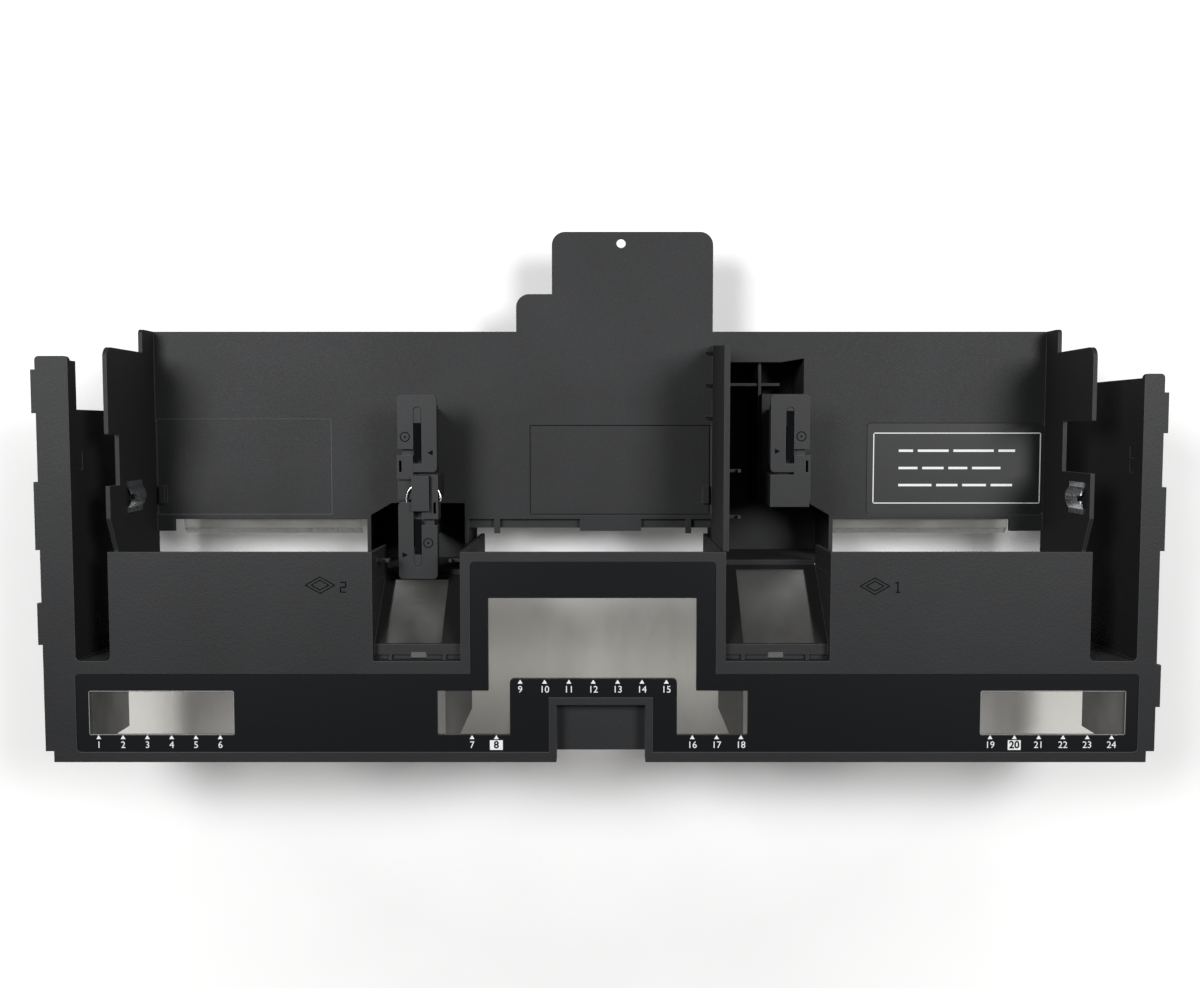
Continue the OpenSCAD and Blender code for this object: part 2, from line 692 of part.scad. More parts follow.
module tray_ribs() {
    rib_h = 4;
    for (y = [104, 132, 160]) {
        span([-bay_x, y, under_z - rib_h], [-well_out - wall_t, y + rib_t, under_z + eps]);
        span([well_out + wall_t, y, under_z - rib_h], [bay_x, y + rib_t, under_z + eps]);
    }
    for (x = [-156, -126, 126, 156])
        span([x, 98, under_z - rib_h], [x + rib_t, tray_rear - 3, under_z + eps]);
    for (x = [-38, -5, 28])
        span([x, 98, under_z - rib_h], [x + rib_t, tray_rear - 3, under_z + eps]);
}

module card_tray() color("#2a2c30") placed() difference() {
    union() {
        difference() {
            union() {
                translate([0, 0, under_z]) linear_extrude(tray_t) floor_outline();
                // Lip under the middle front edge
                span([-well_left_in, tray_front - corner_ext + rib_t, under_z - lip_drop],
                     [partition_x + eps, tray_front + rib_t, under_z - lip_drop + wall_t]);
                span([-well_left_in, tray_front - eps, under_z - lip_drop],
                     [partition_x + eps, tray_front + rib_t, under_z + eps]);
            }
            linear_extrude(shroud_h) polygon(left_well);
            linear_extrude(shroud_h) polygon(right_well);
            recess(label_left);
            recess(label_middle);
            recess(label_right);
        }
        well(left_well, ramp_z(ramp_left_end) - ramp_t);
        well(right_well, ramp_z(ramp_right_end) - ramp_t);
        // Ribs in the right well
        span([well_in - rib_t, well_taper[1], well_floor - eps], [well_in, well_end + eps, tray_z - 3]);
        span([right_well_in - eps, well_shelf + 3.5, well_floor - eps],
             [well_in + 8, well_shelf + 3.5 + rib_t, tray_z - 4]);
        bay_wall(-bay_x, left_cut);
        bay_wall(bay_x - wall_t, right_cut);
        partition();
        tray_ribs();
        // Card rests beside the walls
        for (x = [-bay_x + 2 * wall_t, partition_x - 4])
            span([x, rest_y[0], tray_z - 2 * label_recess], [x + 2.6, rest_y[1], tray_z + rest_h]);
    }
    // Holes for the clip rivets
    for (s = [-1, 1]) clip_place(s) translate([0, clip_l / 2, clip_h / 2]) rotate([0, 90, 0])
        cylinder(h = 4 * wall_t, d = rivet_d + 0.2, center = true);
}

// ---- Side clips: bowed spring strips riveted to the inner faces of the bay walls ----

// Puts a clip against the left (-1) or right (+1) bay wall, with +X out of the bay
module clip_place(s) translate([s * (bay_x - wall_t), clip_y, tray_z + clip_z[s < 0 ? 0 : 1]])
    scale([s, 1, 1]) children();

module side_clip(s) color("#c9ccce") placed() clip_place(s) difference() {
    union() {
        // Bow, as a slice of a drum
        r = (pow(clip_l / 2, 2) + pow(clip_bow, 2)) / (2 * clip_bow);
        intersection() {
            translate([r - clip_bow, clip_l / 2, 0]) difference() {
                cylinder(h = clip_h, r = r);
                translate([0, 0, -1]) cylinder(h = clip_h + 2, r = r - clip_t);
            }
            translate([-clip_bow - 1, 0, 0]) cube([clip_bow + 1, clip_l, clip_h]);
        }
        // Feet on the wall
        for (y = [-1.4, clip_l - clip_t]) translate([-clip_t, y, 0]) cube([clip_t, 1.4 + clip_t, clip_h]);
        // Rivet through the wall, with a head on each side
        translate([-clip_bow, clip_l / 2, clip_h / 2]) rotate([0, 90, 0])
            cylinder(h = clip_bow + wall_t + 2, d = rivet_d);
        translate([wall_t, clip_l / 2, clip_h / 2]) rotate([0, 90, 0]) cylinder(h = 1, d = 1.7 * rivet_d);
    }
    // Slot in the upper half of the bow
    translate([-clip_bow - 1, clip_l / 2 - 1, clip_h - 3.5]) cube([clip_bow + 0.4, 2, 4]);
}

// ---- Film flaps: bent clear strips glued under the front edge of the tray ----

module film_flap(x) {
    y1 = tray_front + flap_glued;
    y2 = tray_front - flap_reach * 0.65;
    y3 = tray_front - flap_reach;
    side_wall(x[0], x[1], [[y3, under_z - 3.4], [y3 + flap_t, under_z - 3.4], [y2 + flap_t, under_z - 1 - flap_t],
                           [tray_front, under_z - flap_t], [y1, under_z - flap_t], [y1, under_z],
                           [tray_front, under_z], [y2, under_z - 1]]);
}
module flap_left() color("#d5dadd", 0.4) placed() film_flap(flap_left_x);
module flap_right() color("#d5dadd", 0.4) placed() film_flap(flap_right_x);

module notice_plate() color("#1d1e21") placed()
    translate([0, 0, tray_z - label_recess]) linear_extrude(label_recess - 0.1)
        rounded(label_right[0] + [fit_gap, fit_gap], label_right[1] - [fit_gap, fit_gap], pocket_r);

// ---- Locks: C-shaped sliders on T-shaped rails ----
// A lock is drawn with the middle of its block at the origin and its rail along +Y.

slider_y = lock_block_l / 2 + lock_hook_gap;
slot_x = 0.1 - slot_w / 2;
slot_y = slider_y + slider_l - slider_end - slot_l;
flange_top = lock_top - slider_t - lock_gap;
flange_z = flange_top - flange_t;
skirt_t = 1.3;
flange_w = slider_w - 2 * (skirt_t + lock_gap);
rail_end = slider_y + slider_l - 3;
hook_bar = slot_y - slider_y;
leg_y = slot_y + mouth_l;

module lock_slider() {
    z = lock_top - slider_t;
    low = flange_z - lock_gap - skirt_t;
    half = slider_w / 2;
    translate([0, 0, z]) linear_extrude(slider_t) difference() {
        rounded([-half, slider_y], [half, slider_y + slider_l], 1.6);
        translate([slot_x, slot_y]) square([slot_w, slot_l - slot_w / 2]);
        translate([slot_x + slot_w / 2, slot_y + slot_l - slot_w / 2]) circle(d = slot_w);
        translate([-half - 1, slot_y]) square([half + 1 + slot_x + slot_w / 2, mouth_l]);
        translate([-half - 1, slider_y - 1]) square([half + 1 + slot_x, hook_bar + mouth_l]);
    }
    // Skirts with lips under the flange of the rail
    skirt_end = slider_y + slider_l - 4;
    for (s = [[-half, leg_y], [half - skirt_t, slot_y]])
        span([s[0], s[1], low], [s[0] + skirt_t, skirt_end, z + eps]);
    for (s = [[-half, leg_y], [half - 2 * skirt_t, slot_y]])
        span([s[0], s[1], low], [s[0] + 2 * skirt_t, skirt_end, low + skirt_t]);
}

// One rail with the key that runs in the slider's slot
module lock_rail(stem_low) {
    key_l = slot_l - lock_travel - 2 * lock_gap;
    key_end = slot_y + slot_l - lock_gap;
    w = slot_w - 2 * lock_gap;
    span([-stem_w / 2, 0, stem_low], [stem_w / 2, rail_end - 2, flange_z + eps]);
    span([-flange_w / 2, leg_y - mouth_l / 2, flange_z], [flange_w / 2, rail_end, flange_top]);
    span([slot_x + lock_gap, key_end - key_l, flange_top - eps],
         [slot_x + lock_gap + w, key_end - w / 2, lock_top - slider_t / 2]);
    translate([slot_x + lock_gap + w / 2, key_end - w / 2, flange_top - eps])
        cylinder(h = lock_top - 0.4 - flange_top, d = w);
    span([slot_x + lock_gap, key_end - key_l / 2, flange_top - eps],
         [slot_x + lock_gap + w, key_end - w / 2, lock_top - 0.4]);
    // Cheek beside the mouth of the slot, with a slit along its outer edge
    difference() {
        span([-slider_w / 2 - 0.4, -lock_block_l / 2, flange_z - 4],
             [slot_x - lock_gap, leg_y - 2.4, lock_top]);
        span([-slider_w / 2 + 0.4, slider_y, flange_z], [-slider_w / 2 + 1.5, leg_y - 4.5, lock_top + 1]);
    }
}

// The block at the end of a rail, from its seat up to the level of the slider
module lock_block(front) {
    half = slider_w / 2;
    span([-half + 1, front, tray_z], [half - 1, lock_block_l / 2, flange_z - 1]);
    span([-half, front, flange_z - 1 - eps], [half, lock_block_l / 2, lock_top]);
}

module lock_at(x, turn = 0) translate([x, lock_y, 0]) rotate([0, 0, turn]) children();

module lock_base_left() color("#232529") placed() lock_at(lock_left_x) difference() {
    union() {
        lock_block(-lock_block_l / 2);
        lock_rail(tray_z);
        rotate([0, 0, 180]) lock_rail(flange_z - 5);
        // Web that carries the front rail, with its foot on the floor of the well
        web_rear = well_taper[1] - fit_gap - lock_y;
        side_wall(-wall_t, wall_t, [[-lock_block_l / 2 + eps, tray_z], [-lock_block_l / 2 + eps, flange_z - 4],
                                    [-rail_end + 6, flange_z - 4], [-rail_end + 12, well_floor],
                                    [web_rear, well_floor], [web_rear, tray_z]]);
        span([-stem_w / 2, -rail_end + 12, well_floor], [stem_w / 2, web_rear, well_floor + wall_t]);
    }
    // Seat for the cap, and the lower step that the ring lies on
    span([cap_x - cap_w / 2 - lock_gap, -lock_block_l / 2 - eps, lock_top - 1],
         [cap_x + cap_w / 2 + lock_gap, cap_rear + lock_gap, lock_top + 1]);
    span([-slider_w, -lock_block_l / 2 - eps, ring_z - ring_wire / 2],
         [cap_x - cap_w / 2, cap_rear - 1.5, lock_top + 1]);
    ring_solid(lock_gap);
}

module lock_base_right() color("#232529") placed() lock_at(lock_right_x) mirror([1, 0, 0]) {
    lock_block(well_taper[1] + fit_gap - lock_y);
    lock_rail(tray_z);
}

module lock_slider_rear() color("#2b2d31") placed() lock_at(lock_left_x) lock_slider();
module lock_slider_front() color("#2b2d31") placed() lock_at(lock_left_x, 180) lock_slider();
module lock_slider_right() color("#2b2d31") placed() lock_at(lock_right_x) mirror([1, 0, 0]) lock_slider();

// Cap over the middle of the left block, with a tongue over the front slider's hook
module lock_cap() color("#2b2d31") placed() lock_at(lock_left_x) difference() {
    union() {
        span([cap_x - cap_w / 2, -lock_block_l / 2, lock_top - 1],
             [cap_x + cap_w / 2, cap_rear, lock_top + cap_h]);
        span([cap_x - cap_w / 2, -slider_y - hook_bar, lock_top + lock_gap],
             [cap_x + cap_w / 2, -lock_block_l / 2 + eps, lock_top + cap_h]);
    }
    ring_solid(lock_gap);
}

// Spring ring round the block, open towards the front slider
ring_z = lock_top - 1.2;
module ring_solid(grow = 0) intersection() {
    translate([ring_at[0], ring_at[1], ring_z])
        rotate_extrude() translate([ring_r, 0]) circle(d = ring_wire + 2 * grow, $fn = 24);
    span([-2 * slider_w, -slider_y + 2 * lock_gap - grow, 0], [2 * slider_w, slider_w, shroud_h]);
}
module lock_ring() color("#d0d2d4") placed() lock_at(lock_left_x) ring_solid();

module side_clip_left() side_clip(-1);
module side_clip_right() side_clip(1);

front_hood();
card_tray();
printed_film();
window_left();
window_middle();
window_right();
window_ramp_left();
window_ramp_right();
notice_plate();
flap_left();
flap_right();
lock_base_left();
lock_base_right();
lock_slider_rear();
lock_slider_front();
lock_slider_right();
lock_cap();
lock_ring();
side_clip_left();
side_clip_right();
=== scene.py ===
"""Air shroud of a rack server, seen from above on a pale table.

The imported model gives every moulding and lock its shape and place. This script adds the
printed marks and gives each piece the finish of the real one.
"""
import math

import bpy
import numpy as np
from mathutils import Matrix, Vector


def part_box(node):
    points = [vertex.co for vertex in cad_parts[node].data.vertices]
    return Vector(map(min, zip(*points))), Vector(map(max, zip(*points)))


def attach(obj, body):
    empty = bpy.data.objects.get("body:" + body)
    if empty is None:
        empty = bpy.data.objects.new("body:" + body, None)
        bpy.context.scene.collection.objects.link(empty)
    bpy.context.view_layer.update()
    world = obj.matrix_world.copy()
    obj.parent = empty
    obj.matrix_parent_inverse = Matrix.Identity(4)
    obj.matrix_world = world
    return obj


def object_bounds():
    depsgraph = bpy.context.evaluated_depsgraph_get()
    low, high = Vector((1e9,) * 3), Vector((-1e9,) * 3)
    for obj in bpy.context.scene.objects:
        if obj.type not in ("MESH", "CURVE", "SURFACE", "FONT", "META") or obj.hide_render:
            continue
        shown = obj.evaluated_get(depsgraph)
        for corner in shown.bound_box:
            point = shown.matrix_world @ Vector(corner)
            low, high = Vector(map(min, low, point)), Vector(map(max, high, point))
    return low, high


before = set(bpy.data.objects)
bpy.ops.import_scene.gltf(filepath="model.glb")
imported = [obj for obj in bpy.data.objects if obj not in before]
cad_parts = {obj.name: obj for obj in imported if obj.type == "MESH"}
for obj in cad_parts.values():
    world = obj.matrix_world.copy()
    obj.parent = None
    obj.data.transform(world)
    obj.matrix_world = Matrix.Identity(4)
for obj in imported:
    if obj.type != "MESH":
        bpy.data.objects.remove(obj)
cad_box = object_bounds()

MM = 0.001


# ---- Camera: looks down on the shroud from half a metre, tilted a little to the front ----
TILT = math.radians(3.354)
camera_data = bpy.data.cameras.new("camera")
camera = bpy.data.objects.new("camera", camera_data)
bpy.context.collection.objects.link(camera)
camera_data.sensor_width = 36
camera_data.lens = 33
camera_data.clip_start = 0.01
camera.location = (0, 23.2 * MM, 496.2 * MM)
camera.rotation_euler = (-TILT, 0, 0)
bpy.context.scene.camera = camera


# ---- Table and lamps: a white table, two soft boxes high on the left and right, and an even,
# dim room light, as in a small product studio. The boxes stand past the rear edge, away from
# the smooth film along the front. The table glows more with distance, so it stays white.
def srgb(code):
    """Turns a hex colour such as '#2a2b2d' into linear red, green, blue and alpha."""
    parts = np.array([int(code[i:i + 2], 16) for i in (1, 3, 5)]) / 255
    lin = np.where(parts <= 0.04045, parts / 12.92, ((parts + 0.055) / 1.055) ** 2.4)
    return (*lin.tolist(), 1.0)


def add(tree, kind, links=(), **settings):
    """Adds one node to a tree. A setting whose name is an input's, with _ for a space,
    fills that input, and any other sets the node itself. Each link is a pair of an input's
    name or number and an output socket."""
    node = tree.nodes.new("ShaderNode" + kind)
    names = {socket.name.replace(" ", "_"): socket for socket in reversed(node.inputs)}
    for key, value in settings.items():
        if key in names:
            names[key].default_value = value
        else:
            setattr(node, key, value)
    for key, output in links:
        tree.links.new(node.inputs[key], output)
    return node


def new_material(name):
    """Makes an empty node material and its output node."""
    material = bpy.data.materials.new(name)
    material.use_nodes = True
    tree = material.node_tree
    tree.nodes.clear()
    return material, tree


def any_of(tree, outputs):
    """The largest of several 0 or 1 outputs."""
    result = outputs[0]
    for other in outputs[1:]:
        result = add(tree, "Math", [(0, result), (1, other)], operation="MAXIMUM").outputs[0]
    return result


GLOW_FROM = 0.22
GLOW_FULL = 0.75
TABLE_HALF = 8


def table_material():
    """A matt white table top. The camera and the gloss see a glow added to it, faint
    near the shroud and growing with the distance, so that it is white all round in the open
    and grey in the shade under the shroud."""
    material, tree = new_material("white_table_top")
    path = add(tree, "LightPath")
    seen = any_of(tree, [path.outputs["Is Camera Ray"], path.outputs["Is Glossy Ray"],
                         path.outputs["Is Transmission Ray"]])
    at = add(tree, "TexCoord").outputs["Object"]
    blotch = add(tree, "TexNoise", [("Vector", at)], Scale=1 / (60 * MM), Detail=3.0)
    white = add(tree, "MixRGB", [("Fac", blotch.outputs["Fac"])], Color1=(0.84, 0.84, 0.84, 1),
                Color2=(0.9, 0.9, 0.9, 1))
    matt = add(tree, "BsdfDiffuse", [("Color", white.outputs[0])])
    away = add(tree, "VectorMath", [(0, at)], operation="LENGTH").outputs["Value"]
    lift = add(tree, "MapRange", [("Value", away)], From_Min=GLOW_FROM, From_Max=GLOW_FULL,
               To_Min=0.1, To_Max=1.0)
    glow = add(tree, "Emission", [("Strength", lift.outputs[0])], Color=(1, 0.99, 0.975, 1))
    lit = add(tree, "AddShader", [(0, matt.outputs[0]), (1, glow.outputs[0])])
    mix = add(tree, "MixShader", [("Fac", seen), (1, matt.outputs[0]), (2, lit.outputs[0])])
    add(tree, "OutputMaterial", [("Surface", mix.outputs[0])])
    return material


table_mesh = bpy.data.meshes.new("table_top")
table_corners = [(sx * TABLE_HALF, sy * TABLE_HALF, 0)
                 for sx, sy in ((-1, -1), (1, -1), (1, 1), (-1, 1))]
table_mesh.from_pydata(table_corners, [], [(0, 1, 2, 3)])
table = bpy.data.objects.new("table_top", table_mesh)
bpy.context.collection.objects.link(table)
table_mesh.materials.append(table_material())

world = bpy.data.worlds.new("studio")
bpy.context.scene.world = world
world.use_nodes = True
sky = world.node_tree
sky.nodes.clear()
path = add(sky, "LightPath")
plain = add(sky, "Background", Color=(1, 1, 1, 1), Strength=0.07)
white = add(sky, "Background", Color=(1, 1, 1, 1), Strength=1.0)
mix = add(sky, "MixShader", [("Fac", path.outputs["Is Camera Ray"]), (1, plain.outputs[0]),
                             (2, white.outputs[0])])
add(sky, "OutputWorld", [("Surface", mix.outputs[0])])


def soft_box(name, place, aim, size, watts):
    """A square area lamp that faces a point."""
    lamp = bpy.data.lights.new(name, "AREA")
    lamp.shape = "RECTANGLE"
    lamp.size, lamp.size_y = size
    lamp.energy = watts
    holder = bpy.data.objects.new(name, lamp)
    bpy.context.collection.objects.link(holder)
    holder.location = place
    holder.rotation_euler = (Vector(aim) - Vector(place)).to_track_quat("-Z", "Y").to_euler()


LAMP_AIM = (0, 0.04, 0)
LAMP_SIZE = (0.3, 0.3)
soft_box("box_left", (-0.42, 0.24, 0.78), LAMP_AIM, LAMP_SIZE, 5.9)
soft_box("box_right", (0.46, 0.22, 0.78), LAMP_AIM, LAMP_SIZE, 5.6)
bpy.context.scene.view_settings.view_transform = "Standard"


# ---- Front hood: one moulding in black PC/ABS from a spark-eroded tool. Its sparkle
# grain is about 0.15 mm, drawn at 0.5 mm so that it shows. Edges get a pale painted highlight.
def grained_plastic(name, tone, grain, depth, rough, edge_highlight_level=0.3, marks=None):
    """Black moulded plastic. Height = fine noise + coarse noise, grain is its size in mm and
    depth its height in mm. tone holds the dark and the light end of a slow change of colour.
    marks, if given, makes masks of polished marks, which are darker and smoother.
    Faces that don't look up are painted near black, as painted shade for the upright walls,
    and are rougher: up = 0 where the normal's height is under 0.75 and 1 where it is over
    0.97. Edges, where the rounded normal leaves the flat one, get a pale painted highlight."""
    material, tree = new_material(name)
    at = add(tree, "TexCoord").outputs["Object"]
    fine = add(tree, "TexNoise", [("Vector", at)], Scale=1 / (grain * MM), Detail=2.0,
               Roughness=0.7)
    coarse = add(tree, "TexNoise", [("Vector", at)], Scale=1 / (grain * 2.6 * MM), Detail=2.0)
    cloud = add(tree, "TexNoise", [("Vector", at)], Scale=1 / (40 * MM), Detail=4.0)
    both = add(tree, "Math", [(0, fine.outputs["Fac"]), (1, coarse.outputs["Fac"])],
               operation="ADD")
    edge = add(tree, "Bevel", samples=6, Radius=0.4 * MM)
    bump = add(tree, "Bump", [("Height", both.outputs[0]), ("Normal", edge.outputs[0])],
               Strength=1.0, Distance=depth * MM)
    flat = add(tree, "NewGeometry").outputs["Normal"]
    facing = add(tree, "VectorMath", [(0, edge.outputs[0]), (1, flat)], operation="DOT_PRODUCT")
    highlit_edge_mask = add(tree, "MapRange", [("Value", facing.outputs["Value"])], From_Min=0.99, From_Max=0.85,
               To_Min=0.0, To_Max=edge_highlight_level)
    dust = add(tree, "MapRange", [("Value", cloud.outputs["Fac"])], From_Min=0.35, From_Max=0.7)
    speck = add(tree, "MapRange", [("Value", fine.outputs["Fac"])], From_Min=0.62, From_Max=0.78,
                To_Min=0.0, To_Max=0.5)
    shade = add(tree, "MixRGB", [("Fac", dust.outputs[0])], Color1=srgb(tone[0]),
                Color2=srgb(tone[1]))
    shade = add(tree, "MixRGB", [("Fac", speck.outputs[0]), ("Color1", shade.outputs[0])],
                Color2=srgb("#4a4b4e"))
    height = add(tree, "SeparateXYZ", [("Vector", flat)]).outputs["Z"]
    up = add(tree, "MapRange", [("Value", height)], From_Min=0.75, From_Max=0.97).outputs[0]
    # Painted shade: where up is 0, on upright walls, the colour is near black.
    shade = add(tree, "MixRGB", [("Fac", up), ("Color2", shade.outputs[0])], Color1=srgb("#060607"))
    gloss = add(tree, "MapRange", [("Value", fine.outputs["Fac"])], From_Min=0.3, From_Max=0.7,
                To_Min=rough + 0.07, To_Max=rough - 0.07)
    wall_roughening = add(tree, "MapRange", [("Value", up)], From_Min=0.0, From_Max=1.0, To_Min=0.35,
                To_Max=0.0)
    gloss = add(tree, "Math", [(0, gloss.outputs[0]), (1, wall_roughening.outputs[0])], operation="ADD")
    if marks:
        mark = any_of(tree, marks(tree, at))
        mark = add(tree, "Math", [(0, mark), (1, up)], operation="MULTIPLY").outputs[0]
        shade = add(tree, "MixRGB", [("Fac", mark), ("Color1", shade.outputs[0])],
                    Color2=srgb("#020203"))
        shine = add(tree, "Math", [(0, mark)], operation="MULTIPLY")
        shine.inputs[1].default_value = 0.45
        gloss = add(tree, "Math", [(0, gloss.outputs[0]), (1, shine.outputs[0])],
                    operation="SUBTRACT")
    # Painted highlight: edges, where the rounded normal leaves the flat one, are painted pale.
    shade = add(tree, "MixRGB", [("Fac", highlit_edge_mask.outputs[0]), ("Color1", shade.outputs[0])],
                Color2=srgb("#77787b"))
    surface = add(tree, "BsdfPrincipled",
                  [("Base Color", shade.outputs[0]), ("Roughness", gloss.outputs[0]),
                   ("Normal", bump.outputs[0])], IOR=1.45)
    add(tree, "OutputMaterial", [("Surface", surface.outputs[0])])
    return material


def dress(node, material):
    """Gives one CAD node a finish."""
    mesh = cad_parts[node].data
    mesh.materials.clear()
    mesh.materials.append(material)


DIAMOND_HALF = (5.6, 3.2)
DIAMONDS = ((-107.4, -36.4), (105.5, -36.8))
STROKE = 0.25
DIGIT_TWO = [(0, 1.9, 1.1, STROKE), (1, 0.95, STROKE, 1), (0, 0, 1.1, STROKE),
             (-1, -0.95, STROKE, 1), (0, -1.9, 1.1, STROKE)]
DIGIT_ONE = [(0, 0, STROKE, 2.1), (-0.5, 1.7, 0.5, STROKE), (0, -1.95, 0.9, STROKE)]
DIGITS = (((-98.6, -37.2), DIGIT_TWO), ((114.3, -37.2), DIGIT_ONE))


def bay_marks(tree, at):
    """Polished marks moulded in the end plates: a double diamond, where |x| / a + |y| / b is
    near 1 or 0.6, and the bay's number, drawn with strokes given by their middle and half
    sizes in mm."""
    place = add(tree, "SeparateXYZ", [("Vector", at)])
    x, y = place.outputs["X"], place.outputs["Y"]

    def near(value, middle, half):
        test = add(tree, "Math", [(0, value)], operation="COMPARE")
        test.inputs[1].default_value = middle
        test.inputs[2].default_value = half
        return test.outputs[0]

    masks = []
    for centre in DIAMONDS:
        parts = []
        for value, middle, half in zip((x, y), centre, DIAMOND_HALF):
            away = add(tree, "Math", [(0, value)], operation="SUBTRACT")
            away.inputs[1].default_value = middle * MM
            away = add(tree, "Math", [(0, away.outputs[0])], operation="ABSOLUTE")
            share = add(tree, "Math", [(0, away.outputs[0])], operation="DIVIDE")
            share.inputs[1].default_value = half * MM
            parts.append(share.outputs[0])
        reach = add(tree, "Math", [(0, parts[0]), (1, parts[1])], operation="ADD").outputs[0]
        masks += [near(reach, 1.0, 0.07), near(reach, 0.6, 0.07)]
    for (cx, cy), strokes in DIGITS:
        for dx, dy, half_x, half_y in strokes:
            across = near(x, (cx + dx) * MM, half_x * MM)
            along = near(y, (cy + dy) * MM, half_y * MM)
            both = add(tree, "Math", [(0, across), (1, along)], operation="MULTIPLY")
            masks.append(both.outputs[0])
    return masks


hood_plastic = grained_plastic("pc_abs_spark_grain", ("#151618", "#1b1c1e"), 0.5, 0.05, 0.58,
                               marks=bay_marks)
dress("front_hood", hood_plastic)


# ---- Skirts of the hood: the outer walls reach down beside the tray, and the cheeks of the
# two pockets run on to the rear edge of the end plates. Fillers close the chink at the foot of
# each ramp, and the gap between band and ledge on both sides of its light slot. All of them
# are part of the same moulding.
front_edge = cad_box[0][1]


def block_piece(name, blocks, material):
    """Makes one piece from upright blocks, each given by its low and its high corner in mm
    from the centre line, the front edge and the underside."""
    verts, faces = [], []
    for low, high in blocks:
        n = len(verts)
        corners = [(low[0], low[1]), (high[0], low[1]), (high[0], high[1]), (low[0], high[1])]
        for z in (low[2], high[2]):
            verts += [(x * MM, front_edge + y * MM, z * MM) for x, y in corners]
        faces += [[n + 3, n + 2, n + 1, n], [n + 4, n + 5, n + 6, n + 7]]
        faces += [[n + i, n + (i + 1) % 4, n + 4 + (i + 1) % 4, n + 4 + i] for i in range(4)]
    mesh = bpy.data.meshes.new(name)
    mesh.from_pydata(verts, [], faces)
    mesh.materials.append(material)
    piece = bpy.data.objects.new(name, mesh)
    bpy.context.collection.objects.link(piece)
    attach(piece, "shroud")


HOOD_TOP = 77
BAND_REAR = 39.5
PLATE_REAR = 81.4
UNDER_SKIN = 74.9
LEDGE_DROP = 3.4
RAMP_T = 1.8
LEDGE_D = 6
SLOT_HALF = 3
CHEEK_FOOT = 46
CHEEK_T = 1.5
CHEEK_GAP = 0.05
POCKETS = [(-87.5, -53.7, 69.4), (48.3, 88.5, 73)]
block_piece("side_skirts", [((-203.55, 39.6, 4), (-202.05, 136.2, 31)),
                            ((206.85, 39.6, 4), (208.35, 148, 31))], hood_plastic)
cheeks, fillers = [], []
for left, right, ramp_end in POCKETS:
    for x0, x1 in ((left - CHEEK_GAP - CHEEK_T, left - CHEEK_GAP),
                   (right + CHEEK_GAP, right + CHEEK_GAP + CHEEK_T)):
        cheeks.append(((x0, ramp_end - 0.5, CHEEK_FOOT), (x1, PLATE_REAR, UNDER_SKIN)))
    ledge = HOOD_TOP - LEDGE_DROP - RAMP_T
    foot = HOOD_TOP - LEDGE_DROP - (ramp_end - BAND_REAR - LEDGE_D) - RAMP_T
    fillers.append(((left, ramp_end - 1.2, foot - 1.2), (right, ramp_end + 0.28, foot - 0.02)))
    middle = (left + right) / 2
    for x0, x1 in ((left, middle - SLOT_HALF), (middle + SLOT_HALF, right)):
        fillers.append(((x0, BAND_REAR, ledge), (x1, BAND_REAR + 2, ledge + 0.5)))
block_piece("pocket_cheeks", cheeks, hood_plastic)
block_piece("pocket_fillers", fillers, hood_plastic)


# ---- Card tray: the same plastic from a smoother tool, so it is a shade lighter and its
# grain is finer and shallower.
tray_plastic = grained_plastic("pc_abs_fine_grain", ("#151618", "#1d1e20"), 0.4, 0.02, 0.62,
                               edge_highlight_level=0.25)
dress("card_tray", tray_plastic)


# ---- Printed film: black polyester, back-printed and glued in the hood's recess. It is
# smooth and even, with the faintest ripple of the glue under it.
def film_material(name, tone, rough):
    """Satin black film with a slow ripple."""
    material, tree = new_material(name)
    at = add(tree, "TexCoord").outputs["Object"]
    ripple = add(tree, "TexNoise", [("Vector", at)], Scale=1 / (18 * MM), Detail=2.0)
    fine = add(tree, "TexNoise", [("Vector", at)], Scale=1 / (0.5 * MM), Detail=1.0)
    bump = add(tree, "Bump", [("Height", ripple.outputs["Fac"])], Strength=0.4, Distance=0.1 * MM)
    bump = add(tree, "Bump", [("Height", fine.outputs["Fac"]), ("Normal", bump.outputs[0])],
               Strength=0.3, Distance=0.01 * MM)
    surface = add(tree, "BsdfPrincipled", [("Normal", bump.outputs[0])], Base_Color=srgb(tone),
                  Roughness=rough, IOR=1.45)
    add(tree, "OutputMaterial", [("Surface", surface.outputs[0])])
    return material


dress("printed_film", film_material("black_polyester_film", "#0f1012", 0.3))
